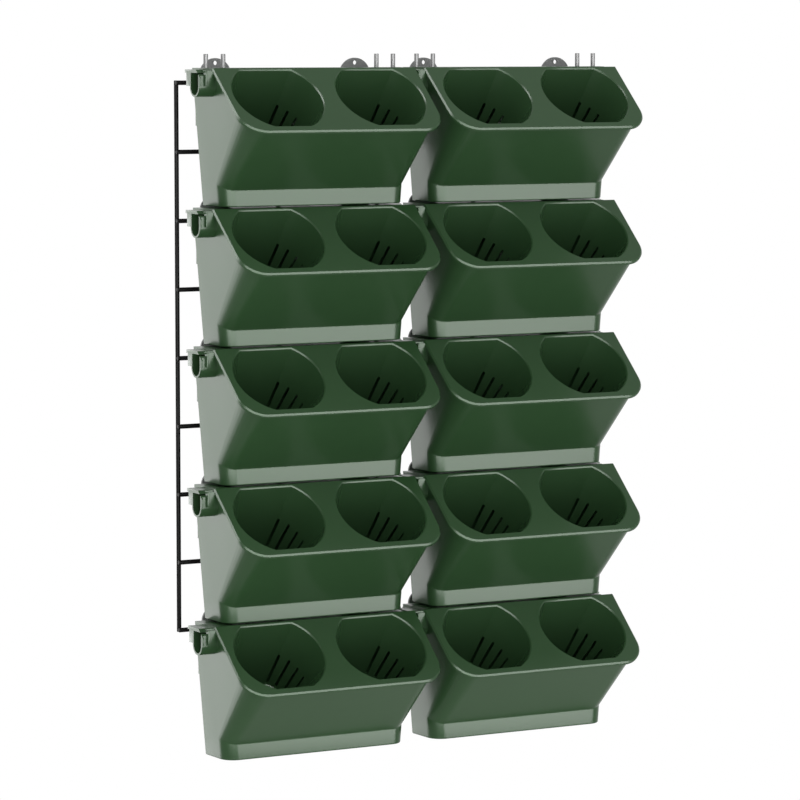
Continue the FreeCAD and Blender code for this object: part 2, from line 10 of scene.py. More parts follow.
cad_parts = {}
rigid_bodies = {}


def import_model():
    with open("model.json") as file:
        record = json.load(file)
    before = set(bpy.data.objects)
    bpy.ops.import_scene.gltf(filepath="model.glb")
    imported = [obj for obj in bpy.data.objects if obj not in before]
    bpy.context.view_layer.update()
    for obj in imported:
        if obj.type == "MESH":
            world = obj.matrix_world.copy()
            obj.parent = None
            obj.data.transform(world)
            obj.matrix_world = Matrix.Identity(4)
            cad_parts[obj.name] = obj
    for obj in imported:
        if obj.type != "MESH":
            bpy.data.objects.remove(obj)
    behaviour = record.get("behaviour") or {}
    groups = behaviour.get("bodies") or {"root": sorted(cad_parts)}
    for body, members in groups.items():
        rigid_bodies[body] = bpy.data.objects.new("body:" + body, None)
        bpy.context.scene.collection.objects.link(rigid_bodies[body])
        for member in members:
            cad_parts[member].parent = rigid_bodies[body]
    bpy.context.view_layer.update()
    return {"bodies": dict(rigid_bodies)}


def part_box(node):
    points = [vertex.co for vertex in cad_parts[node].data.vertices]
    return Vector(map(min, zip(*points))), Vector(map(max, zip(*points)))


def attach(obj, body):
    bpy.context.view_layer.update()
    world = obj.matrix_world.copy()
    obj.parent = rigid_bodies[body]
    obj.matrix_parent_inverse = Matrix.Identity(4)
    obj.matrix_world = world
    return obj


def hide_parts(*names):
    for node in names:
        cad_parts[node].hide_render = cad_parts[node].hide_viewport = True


bl_info = {
    "name": "Wall Planter Set",
    "version": (1, 0, 0),
    "blender": (4, 5, 0),
    "location": "View3D > Sidebar > Planter",
    "description": "Models the pots, inserts, hooks, stubs and grid of a wall planter set",
    "category": "Object",
}

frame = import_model()
TIERS = range(1, 1 + sum(name.startswith("tier_") for name in frame["bodies"]))
SIDES = ("left", "right")
GRID_COLUMNS = 5

# How finely round forms are divided; a face with more sides than a cap closes a round form
CORNER_STEPS = 10
CUP_SIDES = 128
TROUGH_SIDES = 64
TUBE_SIDES = 40
WIRE_SIDES = 28
CAP_SIDES = 8

# Metres: places that count as one, points that are merged, and solids that overlap where they are
# joined or cut
NEAR = 1e-5
DOUBLES = 1e-6
OVERLAP = 0.001

# Cosine from which a face looks a given way, and the turns between faces that matter
FACING = 0.999
CREASE_TURN = radians(8)
SMOOTH_TURN = radians(32)
SHARP_TURN = radians(50)

# Rounding as a share of a slot's width, a loop's wall and half a hook's width
SLOT_ROUNDING = 0.48
LOOP_ROUNDING = 0.9
HEAD_ROUNDING = 0.999

# Studio in metres: the floor, the place that the lamps look at, and the camera of the photograph
WHITE = (1, 1, 1, 1)
ROOM_LIGHT = 1.0
BACKDROP_LIGHT = 1.0
FLOOR_SIZE = 3.0
FLOOR_LEVEL = -2.0
LAMP_TARGET = Vector((0, -0.07, -0.36))
CAMERA_PLACE = (-2.06266, -3.71487, 0.02675)
CAMERA_DOWN = radians(5.428)
CAMERA_ROUND = radians(-29.235)
CAMERA_LENS = 171.38
CAMERA_SENSOR = 36
CAMERA_SHIFT = -0.0017
CAMERA_REACH = 50

# name, degrees round from the front, degrees up, distance, width, height, watts, and how it shows
LAMPS = (
    ("back_left_panel", -150, -6, 2.6, 2.2, 2.4, 77, "sheen"),
    ("high_left_panel", -101, 49, 2.4, 1.3, 1.3, 100, "sheen"),
    ("front_right_panel", 29, -4, 2.8, 1.9, 2.9, 280, "sheen"),
    ("front_left_panel", -22, 6, 2.8, 3.6, 3.2, 580, "sheen"),
    ("front_fill", -8, -8, 2.8, 2.4, 2.0, 15, "light"),
)


def length(label, note, millimetres):
    return bpy.props.FloatProperty(name=label, description=note, default=millimetres / 1000,
                                   min=0, unit="LENGTH", precision=4)


def angle(label, note, degrees):
    return bpy.props.FloatProperty(name=label, description=note, default=radians(degrees),
                                   unit="ROTATION", subtype="ANGLE")


def colour(label, note, red, green, blue):
    return bpy.props.FloatVectorProperty(name=label, description=note, subtype="COLOR", size=3,
                                         min=0, max=1, default=(red, green, blue))


class PotSizes(bpy.types.PropertyGroup):
    """Sizes of the outer pot and its link spout."""
    width: length("Width", "Outer width at the deck", 249)
    height: length("Height", "Deck to underside", 148.3)
    deck: length("Deck depth", "Plate top edge to the back wall", 47.5)
    band_reach: length("Band reach", "Base band ahead of the plate top edge", 1.2)
    band_height: length("Band height", "Upright band at the base", 18)
    undercut: angle("Undercut", "Slope of the front panel from level", 43)
    draft: angle("Draft", "Inward lean of each side", 4.8)
    flare: angle("Flare", "Narrowing of each side towards the front", 1.5)
    edge_round: length("Edge round", "Radius of the front side edges at the band", 16)
    lip_round: length("Lip round", "Radius of the same edges at the lip, across the front", 21.5)
    lip_sweep: length("Lip sweep", "Reach of the same rounding along the side", 35)
    crease_round: length("Crease round", "Radius where the front panel meets the band", 1)
    base_round: length("Base round", "Radius of the base edges", 1.44)
    wall: length("Wall", "Wall thickness", 2.2)
    gap: length("Gap", "Clearance between separate pieces", 0.3)
    spout_reach: length("Spout reach", "Spout length beyond the side", 16.6)
    spout_root: length("Spout root", "Spout length inside the side", 8)
    spout_radius: length("Spout radius", "Outer radius of the trough", 11)
    spout_wall: length("Spout wall", "Wall of the trough", 2)
    spout_back: length("Spout back", "Trough middle behind the plate top edge", 8)
    spout_drop: length("Spout drop", "Round middle of the trough below the deck", 19.6)
    flange_drop: length("Flange drop", "Flange top below the deck", 1.5)
    flange_thick: length("Flange thickness", "Thickness of the spout flange", 3.5)
    flange_depth: length("Flange depth", "Flange length from front to back", 31.5)
    flange_round: length("Flange round", "Radius of the flange edges", 0.5)
    rib_outer: length("Outer rib", "Thickness of the outer locking rib", 1.2)
    rib_slot: length("Rib slot", "Space for the neighbour's wall", 4.9)
    rib_inner: length("Inner rib", "Thickness of the inner locking rib", 2.4)
    rib_drop: length("Rib drop", "Bottom of the ribs below the deck", 19)
    rib_front: length("Rib front", "Ribs standing out in front of the trough", 3.2)
    rib_rear: length("Rib rear", "Ribs standing out behind the trough", 9)
    rib_round: length("Rib round", "Radius of the rib edges", 0.4)
    loop_wall: length("Loop wall", "Wall of the hanging loops", 3.2)
    loop_height: length("Loop height", "Height of the hanging loops", 40)
    drip_length: length("Drip length", "Length of the drip inlet", 20)
    drip_width: length("Drip width", "Width of the drip inlet", 6)


class InsertSizes(bpy.types.PropertyGroup):
    """Sizes of the planting plate and its cups."""
    slope: angle("Slope", "Slope of the plate from level", 41.2)
    length: length("Length", "Plate length down the slope", 100.5)
    thick: length("Thickness", "Plate thickness", 4)
    corner: length("Corner", "Radius of the lower corners", 29)
    taper: length("Taper", "Narrowing of each side down to the lower edge", 1.5)
    edge: length("Edge", "Bevel of the plate's upper rim", 1.6)
    mouth: length("Mouth", "Bevel of the cup mouths", 1.2)
    cup_radius: length("Cup radius", "Inner radius at the plate", 51.5)
    cup_offset: length("Cup offset", "Cup middle from the pot's middle", 62.5)
    cup_centre: length("Cup centre", "Cup middle down the slope", 44.5)
    flat_top: length("Upper flat", "Upper flat from the cup middle", 41)
    flat_low: length("Lower flat", "Lower flat from the cup middle", 46.7)
    cup_depth: length("Cup depth", "Inner depth square to the plate", 84)
    cup_taper: angle("Cup taper", "Inward lean of the cup wall", 10.8)
    cup_wall: length("Cup wall", "Wall of a cup", 1.8)
    cup_foot: length("Cup foot", "Radius between a cup's wall and its floor", 3)
    slot_width: length("Slot width", "Width of a drain slot", 3)
    slot_start: length("Slot start", "Depth at which the slots begin", 43)
    slot_floor: length("Slot floor", "Slot end above the cup floor", 3)
    slot_first: angle("First slot", "First slot from the upper flat's middle", 39.5)
    slot_step: angle("Slot step", "Angle between slots", 17.3)
    slots: bpy.props.IntProperty(name="Slots", description="Slots on each side of a cup", default=4)


class HangingSizes(bpy.types.PropertyGroup):
    """Sizes of the hooks, stubs and wires."""
    hook_offset: length("Hook offset", "Strip middle from the pot's middle", 86)
    hook_width: length("Hook width", "Width of the strip", 38)
    hook_thick: length("Hook thickness", "Thickness of the strip", 3)
    hook_back: length("Hook back", "Back of the tongue behind the plate top edge", 71)
    hook_top: length("Hook top", "Top of the tongue above the deck", 10.2)
    hook_hole: length("Hook hole", "Diameter of the screw hole", 5)
    hook_hole_edge: length("Hole edge", "Hole middle below the top of the tongue", 5.2)
    hook_base: length("Hook base", "Lower bend below the deck", 63)
    hook_lip: length("Hook lip", "Rear leg below the wire middle", 12)
    hook_neck: length("Hook neck", "Width of the strip behind the tongue", 22)
    hook_bend: length("Hook bend", "Outer radius of the bends", 2.4)
    hook_corner: length("Hook corner", "Radius of the upper corners without a screw hole", 14)
    edge_round: length("Edge round", "Radius of the hook and stub edges", 0.3)
    stub_diameter: length("Stub diameter", "Outside of a feed stub", 5)
    stub_bore: length("Stub bore", "Bore of a feed stub", 3)
    stub_top: length("Stub top", "Top of a stub above the deck", 14.8)
    stub_tail: length("Stub tail", "Stub length below the deck", 9)
    stub_tail_width: length("Stub tail width", "Width of the tail pressed into the deck", 4)
    stub_back: length("Stub back", "Stubs behind the plate top edge", 34)
    stub_pair: length("Stub pair", "Pair middle from the pot's middle", 104.4)
    stub_space: length("Stub space", "Distance between the stubs of a pair", 20.8)
    wire: length("Wire", "Diameter of the grid wires", 5)
    wire_back: length("Wire back", "Level wires behind the plate top edge", 93)
    wire_drop: length("Wire drop", "Top wire below the top deck", 16.5)
    wire_end: length("Wire end", "Radius of the dressed wire ends", 0.7)
    weld: length("Weld", "Depth to which crossing wires are welded", 0.4)


class Finishes(bpy.types.PropertyGroup):
    """Colours of the set and its stage."""
    plastic: colour("Plastic", "Moulded pots and inserts", 0.025, 0.062, 0.024)
    strip: colour("Hook strip", "Plated steel strips", 0.17, 0.174, 0.172)
    stub: colour("Stub", "Feed stubs", 0.15, 0.15, 0.15)
    coating: colour("Coating", "Coated grid wire", 0.0035, 0.0035, 0.0034)
    floor: colour("Floor", "Studio floor", 0.80, 0.80, 0.79)


def new_selection(*objects):
    if bpy.context.mode != "OBJECT":
        bpy.ops.object.mode_set(mode="OBJECT")
    bpy.ops.object.select_all(action="DESELECT")
    for item in objects:
        item.select_set(True)
    if objects:
        bpy.context.view_layer.objects.active = objects[0]


def edit(piece):
    new_selection(piece)
    bpy.ops.object.mode_set(mode="EDIT")
    bpy.ops.mesh.select_all(action="SELECT")


def done():
    bpy.ops.object.mode_set(mode="OBJECT")


def choose(kind, test, needed=True):
    """Select the vertices, edges or faces of the edited mesh that pass a test."""
    bpy.ops.mesh.select_mode(type=kind)
    bpy.ops.mesh.select_all(action="DESELECT")
    piece = bpy.context.edit_object
    mesh = bmesh.from_edit_mesh(piece.data)
    mesh.normal_update()
    items = {"VERT": mesh.verts, "EDGE": mesh.edges, "FACE": mesh.faces}[kind]
    chosen = [item for item in items if test(item)]
    if needed and not chosen:
        raise RuntimeError("nothing to select on " + piece.name)
    for item in chosen:
        item.select_set(True)
    mesh.select_flush_mode()
    bmesh.update_edit_mesh(piece.data)


def block(name, low, high):
    """Box between two corners, its place in its mesh."""
    new_selection()
    low, high = Vector(low), Vector(high)
    bpy.ops.mesh.primitive_cube_add(size=1, location=(low + high) / 2, scale=high - low)
    piece = bpy.context.object
    piece.name = name
    apply_place(piece)
    return piece


def apply_place(piece):
    new_selection(piece)
    bpy.ops.object.transform_apply(location=True, rotation=True, scale=True)


def slice_off(piece, point, normal):
    """Cut the part of a solid that lies beyond a plane and close it again."""
    edit(piece)
    bpy.ops.mesh.bisect(plane_co=point, plane_no=normal, use_fill=True, clear_outer=True)
    done()


def round_edges(piece, test, radius, segments):
    edit(piece)
    choose("EDGE", test)
    bpy.ops.mesh.bevel(offset=radius, segments=segments, affect="EDGES", offset_type="OFFSET")
    done()


def push_out(piece, test, move):
    """Extrude the faces that pass a test."""
    edit(piece)
    choose("FACE", test)
    bpy.ops.mesh.extrude_region_move(TRANSFORM_OT_translate={"value": move})
    done()


def apply_modifier(piece, kind, **settings):
    new_selection(piece)
    bpy.ops.object.modifier_add(type=kind)
    modifier = piece.modifiers[-1]
    for name, value in settings.items():
        setattr(modifier, name, value)
    bpy.ops.object.modifier_apply(modifier=modifier.name)


def combine(piece, operation, *tools):
    """Join solids to a piece or cut them out of it."""
    for tool in tools:
        apply_modifier(piece, "BOOLEAN", operation=operation, object=tool, solver="MANIFOLD")
        bpy.data.objects.remove(tool)


def drop_spare_points(piece):
    """Take out the points that a cut leaves along straight edges, where only two edges meet."""

    def spare(vert):
        if len(vert.link_edges) != 2:
            return False
        start, end = (edge.other_vert(vert).co for edge in vert.link_edges)
        return (vert.co - intersect_point_line(vert.co, start, end)[0]).length < NEAR

    edit(piece)
    choose("VERT", spare, needed=False)
    bpy.ops.mesh.dissolve_verts()
    done()


def clean(piece):
    """Merge doubled points, turn all faces outward, also on a tube, and shade by angle."""
    edit(piece)
    bpy.ops.mesh.remove_doubles(threshold=DOUBLES)
    bpy.ops.mesh.select_all(action="SELECT")
    bpy.ops.mesh.normals_make_consistent(inside=False)
    if bmesh.from_edit_mesh(piece.data).calc_volume(signed=True) < 0:
        bpy.ops.mesh.flip_normals()
    done()
    new_selection(piece)
    bpy.ops.object.shade_smooth_by_angle(angle=SMOOTH_TURN)


def duplicate(piece, name, shift):
    """Copy with its own mesh, moved to its place."""
    new_selection(piece)
    bpy.ops.object.duplicate(linked=False)
    copy = bpy.context.object
    copy.name = name
    bpy.ops.transform.translate(value=shift)
    apply_place(copy)
    return copy


def merge(name, pieces):
    new_selection(*pieces)
    bpy.ops.object.join()
    piece = bpy.context.object
    piece.name = name
    return piece


def dress(piece, material, body, node):
    """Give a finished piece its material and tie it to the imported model."""
    piece.data.materials.clear()
    piece.data.materials.append(material)
    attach(piece, body)
    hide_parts(node)


def pot_place(node):
    """Middle of the plate's top edge of the pot in a node, found from the node's box."""
    pot = bpy.context.scene.planter_pot
    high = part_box(node)[1]
    return Vector((high.x - pot.width / 2, high.y - pot.deck, high.z))


def trough(name, pot, radius, start, end, top):
    """Solid of the U shape of the link spout: a round lower half with upright sides."""
    new_selection()
    middle = Vector(((start + end) / 2, pot.spout_back, -pot.spout_drop))
    bpy.ops.mesh.primitive_cylinder_add(vertices=TROUGH_SIDES, radius=radius, depth=end - start,
                                        location=middle, rotation=(0, pi / 2, 0))
    piece = bpy.context.object
    piece.name = name
    apply_place(piece)
    slice_off(piece, middle, (0, 0, 1))
    push_out(piece, lambda face: face.normal.z > FACING, (0, 0, top + pot.spout_drop))
    return piece


def plate_block(name, insert, across, along, under):
    """Box drawn on the slope: across the pot, down the slope and square to the plate."""
    piece = block(name, (across[0], -along[1], -under[1]), (across[1], -along[0], -under[0]))
    piece.rotation_euler = (insert.slope, 0, 0)
    apply_place(piece)
    return piece


def crease_climb(pot):
    """Rise of the crease for each step back round the front corner, where two equal rounds meet."""
    return tan((pi / 2 - pot.undercut) / 2)


def pot_form(pot, insert):
    """Solid of the pot: a plan with round front corners, drawn up the band and out past the lip."""
    half = pot.width / 2
    crease = pot.band_height - pot.height
    depth = pot.deck + pot.band_reach
    reach = -crease / tan(pot.undercut)
    base = half - pot.height * tan(pot.draft)
    shoulder = half + crease * tan(pot.draft)
    lip = ((crease - pot.band_reach * tan(pot.undercut))
           / (1 + tan(pot.undercut) / tan(insert.slope)))
    share = 1 - lip / crease
    growth = [1 + (size / pot.edge_round - 1) / share for size in (pot.lip_round, pot.lip_sweep)]
    new_selection()
    middle = (0, (pot.deck - pot.band_reach) / 2, -pot.height)
    bpy.ops.mesh.primitive_plane_add(size=1, location=middle)
    piece = bpy.context.object
    piece.name = "pot_form"
    piece.scale = (2 * base, depth, 1)
    apply_place(piece)
    edit(piece)

    def ahead(vert):
        return vert.co.y < pot.deck - NEAR

    choose("VERT", ahead)
    narrow = 1 - depth * tan(pot.flare) / base
    bpy.ops.transform.resize(value=(narrow, 1, 1), center_override=(0, 0, 0))
    bpy.ops.mesh.bevel(offset=pot.edge_round, segments=CORNER_STEPS, affect="VERTICES")
    choose("FACE", lambda face: True)
    for rise, wide in ((pot.band_height, shoulder / base), (-crease, half / shoulder)):
        bpy.ops.mesh.extrude_region_move(TRANSFORM_OT_translate={"value": (0, 0, rise)})
        bpy.ops.transform.resize(value=(wide, 1, 1), center_override=(0, 0, 0))
    for turn in (-1, 1):
        for k in range(CORNER_STEPS):
            here, level, after = (pot.edge_round * (1 - cos(pi / 2 * step / CORNER_STEPS))
                                  for step in (k, k + 0.5, k + 1))
            choose("VERT", lambda vert: crease - NEAR < vert.co.z < crease / 2 and ahead(vert)
                   and turn * vert.co.x > 0 and vert.co.y > level - pot.band_reach)
            climb = (after - here) * crease_climb(pot)
            bpy.ops.transform.translate(value=(turn * climb * tan(pot.draft), 0, climb))
        choose("VERT", lambda vert: vert.co.z > -NEAR and ahead(vert) and turn * vert.co.x > 0)
        bpy.ops.transform.translate(value=(-turn * reach * tan(pot.flare), -reach, 0))
        corner = (turn * (half - (depth + reach) * tan(pot.flare)), -pot.band_reach - reach, 0)
        bpy.ops.transform.resize(value=(*growth, 1), center_override=corner)
    bpy.ops.mesh.select_all(action="SELECT")
    bpy.ops.mesh.normals_make_consistent(inside=False)
    done()
    return piece


def model_shell(pot, insert):
    """Thin shell of the pot, open where the planting plate closes it."""
    crease = pot.band_height - pot.height
    upward = Vector((0, -sin(insert.slope), cos(insert.slope)))
    shell = pot_form(pot, insert)
    slice_off(shell, (0, 0, 0), upward)

    def on_crease(vert):
        """Whether a point lies on the crease over the band, which climbs round the front corners."""
        back = vert.co.y + pot.band_reach
        level = crease + back * crease_climb(pot)
        return back < 1.1 * pot.edge_round and abs(vert.co.z - level) < 20 * NEAR

    round_edges(shell, lambda edge: all(on_crease(vert) for vert in edge.verts)
                and edge.calc_face_angle(0) > CREASE_TURN, pot.crease_round, segments=5)
    round_edges(shell, lambda edge: all(v.co.z < -pot.height + NEAR for v in edge.verts),
                pot.base_round, segments=3)
    seat = plate_block("plate_seat", insert, (-pot.width, pot.width),
                       (-pot.gap, 2 * insert.length), (-5 * insert.thick, insert.thick))
    combine(shell, "DIFFERENCE", seat)
    edit(shell)
    choose("FACE", lambda face: face.normal.dot(upward) > FACING)
    bpy.ops.mesh.delete(type="FACE")
    done()
    apply_modifier(shell, "SOLIDIFY", thickness=pot.wall, offset=-1, use_even_offset=True,
                   use_rim=True)
    clean(shell)
    return shell


def add_spout(shell, pot):
    """Join the link spout with its flange and locking ribs to the left side."""
    side = -pot.width / 2
    end = side - pot.spout_reach
    under = -pot.flange_drop - pot.flange_thick
    inside_flange = -pot.flange_drop - pot.flange_thick / 2
    tube = trough("spout", pot, pot.spout_radius, end, side + pot.spout_root, inside_flange)
    flange = block("flange", (end, pot.gap, under),
                   (side + 2 * OVERLAP, pot.gap + pot.flange_depth, -pot.flange_drop))
    round_edges(flange, lambda edge: all(v.co.x < end + NEAR for v in edge.verts)
                or all(v.co.z > -pot.flange_drop - NEAR for v in edge.verts),
                pot.flange_round, segments=2)
    ribs = []
    front = pot.spout_back - pot.spout_radius - pot.rib_front
    rear = pot.spout_back + pot.spout_radius + pot.rib_rear
    inner = end + pot.rib_outer + pot.rib_slot
    for start, thick in ((end, pot.rib_outer), (inner, pot.rib_inner)):
        rib = block("rib", (start, front, -pot.rib_drop), (start + thick, rear, inside_flange))
        round_edges(rib, lambda edge: True, pot.rib_round, segments=2)
        ribs.append(rib)
    combine(shell, "UNION", tube, flange, *ribs)


def open_shell(shell, pot, insert, hang):
    """Cut the spout's bore, the room for the plates and the neighbour's spout, and the drip slots."""
    half = pot.width / 2
    end = -half - pot.spout_reach
    under = -pot.flange_drop - pot.flange_thick
    under_plate = insert.thick + pot.gap
    bore = trough("bore", pot, pot.spout_radius - pot.spout_wall, end - OVERLAP,
                  -half + pot.spout_root + OVERLAP, under)
    relief = plate_block("relief", insert,
                         (end - OVERLAP, end + pot.rib_outer + pot.rib_slot + pot.gap),
                         (-insert.corner, insert.corner), (-insert.corner, under_plate))
    room = plate_block("room", insert, (-half - pot.gap, -half - pot.gap + 2 * pot.wall),
                       (-pot.gap, insert.corner), (-insert.thick, under_plate))
    notch = trough("notch", pot, pot.spout_radius + pot.gap, half + OVERLAP - pot.spout_reach,
                   half + OVERLAP, OVERLAP)
    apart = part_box("pot_1_right")[1].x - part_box("pot_1_left")[1].x - pot.width
    step = block("step", (half + apart - pot.spout_reach - 2 * pot.gap, -insert.thick, under - pot.gap),
                 (half + OVERLAP, pot.flange_depth + 3 * pot.gap, OVERLAP))
    slots = []
    for name, low, high, less in (("inlet", -pot.wall, 0, 0),
                                  ("outlet", -pot.height, -pot.height + pot.wall, pot.wall)):
        across = pot.drip_length / 2 - less
        along = pot.drip_width / 2 - less / 2
        slots.append(block(name, (-across, hang.stub_back - along, low - OVERLAP),
                           (across, hang.stub_back + along, high + OVERLAP)))
    combine(shell, "DIFFERENCE", bore, relief, room, notch, step, *slots)


def model_pot(pot, insert, hang):
    shell = model_shell(pot, insert)
    add_spout(shell, pot)
    open_shell(shell, pot, insert, hang)
    drop_spare_points(shell)
    clean(shell)
    return shell


def quarter(radius, steps=4):
    """Inward and downward steps round a quarter circle, from upright to level."""
    turns = [pi / 2 * k / steps for k in range(steps + 1)]
    return [(radius * (cos(a) - cos(b)), radius * (sin(b) - sin(a)))
            for a, b in zip(turns, turns[1:])]


def cup_form(name, insert, grow, deep, mouth):
    """Solid of a cup: a round with two flats, drawn down and in, ring by ring, to its floor."""
    new_selection()
    radius = insert.cup_radius + grow + mouth
    bpy.ops.mesh.primitive_circle_add(vertices=CUP_SIDES, radius=radius, fill_type="NGON")
    piece = bpy.context.object
    piece.name = name
    edit(piece)
    for level, turn in ((insert.flat_top, 1), (insert.flat_low, -1)):
        bpy.ops.mesh.select_all(action="SELECT")
        bpy.ops.mesh.bisect(plane_co=(0, turn * (level + grow + mouth), 0), plane_no=(0, turn, 0),
                            clear_outer=True)
    bpy.ops.mesh.select_all(action="SELECT")
    bpy.ops.mesh.remove_doubles(threshold=radius / 100)
    wall = deep - mouth - insert.cup_foot
    steps = [(mouth, mouth)] if mouth else []
    steps.append((wall * tan(insert.cup_taper), wall))
    steps += quarter(insert.cup_foot)
    across = radius
    along = (insert.flat_top + insert.flat_low) / 2 + grow + mouth
    middle = (0, (insert.flat_top - insert.flat_low) / 2, 0)
    level = 0
    for inward, down in steps:
        choose("FACE", lambda face: len(face.verts) > CAP_SIDES
               and all(abs(vert.co.z - level) < NEAR for vert in face.verts))
        bpy.ops.mesh.extrude_region_move(TRANSFORM_OT_translate={"value": (0, 0, -down)})
        bpy.ops.transform.resize(value=(1 - inward / across, 1 - inward / along, 1),
                                 center_override=middle)
        across -= inward
        along -= inward
        level -= down
    bpy.ops.mesh.select_all(action="SELECT")
    bpy.ops.mesh.normals_make_consistent(inside=False)
    done()
    return piece


def model_plate(pot, insert):
    """Flat plate with round lower corners and a bevelled rim, not yet sloped."""
    half = pot.width / 2
    plate = block("insert_form", (-half, -insert.length, -insert.thick), (half, -pot.gap, 0))

    def lowest(vert):
        return vert.co.y < -insert.length + NEAR

    edit(plate)
    choose("VERT", lowest)
    bpy.ops.transform.resize(value=(1 - insert.taper / half, 1, 1), center_override=(0, 0, 0))
    done()
    round_edges(plate, lambda edge: all(lowest(vert) for vert in edge.verts)
                and abs(edge.verts[0].co.z - edge.verts[1].co.z) > NEAR, insert.corner, segments=14)
    round_edges(plate, lambda edge: all(v.co.z > -NEAR for v in edge.verts)
                and (edge.verts[0].co.y + edge.verts[1].co.y) / 2 < -pot.gap - NEAR,
                insert.edge, segments=1)
    return plate


def slot_cutters(insert):
    """Bars with round edges that fan out through the sides of both cups."""
    outside = insert.cup_radius + insert.cup_wall
    inside = outside - insert.cup_depth * tan(insert.cup_taper) - 4 * insert.cup_wall
    bars = []
    for turn in (-1, 1):
        for hand in (-1, 1):
            for k in range(insert.slots):
                bar = block("slot", (-insert.slot_width / 2, inside,
                                     insert.slot_floor - insert.cup_depth),
                            (insert.slot_width / 2, outside, -insert.slot_start))
                round_edges(bar, lambda edge: abs(edge.verts[0].co.y - edge.verts[1].co.y) > NEAR,
                            insert.slot_width * SLOT_ROUNDING, segments=4)
                heading = hand * (insert.slot_first + k * insert.slot_step)
                bar.rotation_euler = (0, 0, -heading)
                bar.location = (turn * insert.cup_offset, -insert.cup_centre, 0)
                apply_place(bar)
                bars.append(bar)
    return merge("slots", bars)


def model_insert(pot, insert):
    plate = model_plate(pot, insert)
    outsides, insides = [], []
    for turn in (-1, 1):
        place = Vector((turn * insert.cup_offset, -insert.cup_centre, 0))
        deep = insert.cup_depth + insert.cup_wall - OVERLAP
        outsides.append(cup_form("cup_outside", insert, insert.cup_wall, deep, 0))
        outsides[-1].location = place - Vector((0, 0, OVERLAP))
        insides.append(cup_form("cup_inside", insert, 0, insert.cup_depth, insert.mouth))
        insides[-1].location = place
    for cup in outsides + insides:
        apply_place(cup)
    combine(plate, "UNION", *outsides)
    combine(plate, "DIFFERENCE", *insides)
    combine(plate, "DIFFERENCE", slot_cutters(insert))
    drop_spare_points(plate)
    plate.rotation_euler = (insert.slope, 0, 0)
    apply_place(plate)
    clean(plate)
    return plate


def model_loop(pot, hang):
    """Square strap on the back wall that slides over the tongue of a hook strip."""
    inner = hang.hook_width / 2 + pot.gap
    outer = inner + pot.loop_wall
    low = -hang.hook_base + pot.gap
    back = hang.hook_back + pot.gap
    loop = block("loop_form", (-outer, pot.deck, low),
                 (outer, back + pot.loop_wall, low + pot.loop_height))
    eye = block("eye", (-inner, pot.deck - OVERLAP, low - OVERLAP),
                (inner, back, low + pot.loop_height + OVERLAP))
    combine(loop, "DIFFERENCE", eye)
    round_edges(loop, lambda edge: all(v.co.y > back + NEAR for v in edge.verts)
                and abs(edge.verts[0].co.z - edge.verts[1].co.z) > NEAR,
                pot.loop_wall * LOOP_ROUNDING, segments=4)
    clean(loop)
    return loop


def lies_at(edge, place):
    """Whether an edge across the strip lies at a place of the strip's side view."""
    return all((Vector((0, v.co.y, v.co.z)) - place).length < NEAR for v in edge.verts)


def model_hook(pot, hang, screwed):
    """Flat strip bent over the level wire, drawn as a sheet and then thickened."""
    half = hang.hook_width / 2
    thick = hang.hook_thick
    back = hang.hook_back
    leg = hang.wire_back - hang.wire / 2 - pot.gap
    rear = hang.wire_back + hang.wire / 2 + pot.gap
    over = hang.wire / 2 + pot.gap - hang.wire_drop
    middle = thick / 2
    path = [(back - middle, -hang.hook_base - middle), (leg - middle, -hang.hook_base - middle),
            (leg - middle, over + middle), (rear + middle, over + middle),
            (rear + middle, -hang.wire_drop - hang.hook_lip)]
    new_selection()
    bpy.ops.mesh.primitive_plane_add(size=1)
    piece = bpy.context.object
    piece.name = "hook_form"
    tall = hang.hook_top - path[0][1]
    piece.rotation_euler = (pi / 2, 0, 0)
    piece.scale = (2 * half, tall, 1)
    piece.location = (0, path[0][0], path[0][1] + tall / 2)
    apply_place(piece)
    edit(piece)
    last = Vector((0, *path[0]))
    narrow = hang.hook_neck / hang.hook_width
    for point in path[1:]:
        target = Vector((0, *point))
        choose("EDGE", lambda edge: lies_at(edge, last))
        bpy.ops.mesh.extrude_region_move(TRANSFORM_OT_translate={"value": target - last})
        if last.z == target.z and last.y < back:
            bpy.ops.transform.resize(value=(narrow, 1, 1), center_override=(0, 0, 0))
        last = target
    choose("VERT", lambda vert: vert.co.z > hang.hook_top - NEAR)
    bpy.ops.mesh.bevel(offset=half * HEAD_ROUNDING if screwed else hang.hook_corner,
                       segments=24 if screwed else 6, affect="VERTICES")
    corners = [Vector((0, *point)) for point in path[:-1]]
    choose("EDGE", lambda edge: len(edge.link_faces) == 2
           and any(lies_at(edge, corner) for corner in corners))
    bpy.ops.mesh.bevel(offset=hang.hook_bend, segments=5, affect="EDGES")
    bpy.ops.mesh.select_all(action="SELECT")
    bpy.ops.mesh.normals_make_consistent(inside=False)
    done()
    apply_modifier(piece, "SOLIDIFY", thickness=thick, offset=0, use_even_offset=True)
    if screwed:
        new_selection()
        bpy.ops.mesh.primitive_cylinder_add(
            vertices=TUBE_SIDES, radius=hang.hook_hole / 2, depth=4 * thick, rotation=(pi / 2, 0, 0),
            location=(0, back - middle, hang.hook_top - hang.hook_hole_edge))
        drill = bpy.context.object
        apply_place(drill)
        combine(piece, "DIFFERENCE", drill)
    apply_modifier(piece, "BEVEL", width=hang.edge_round, segments=2, limit_method="ANGLE",
                   angle_limit=SHARP_TURN)
    clean(piece)
    return piece


def stub_spots(hang):
    """Places of the feed stubs on a top deck, from the middle of the plate's top edge."""
    return [Vector((pair * (hang.stub_pair + turn * hang.stub_space / 2), hang.stub_back, 0))
            for pair in (-1, 1) for turn in (-1, 1)]


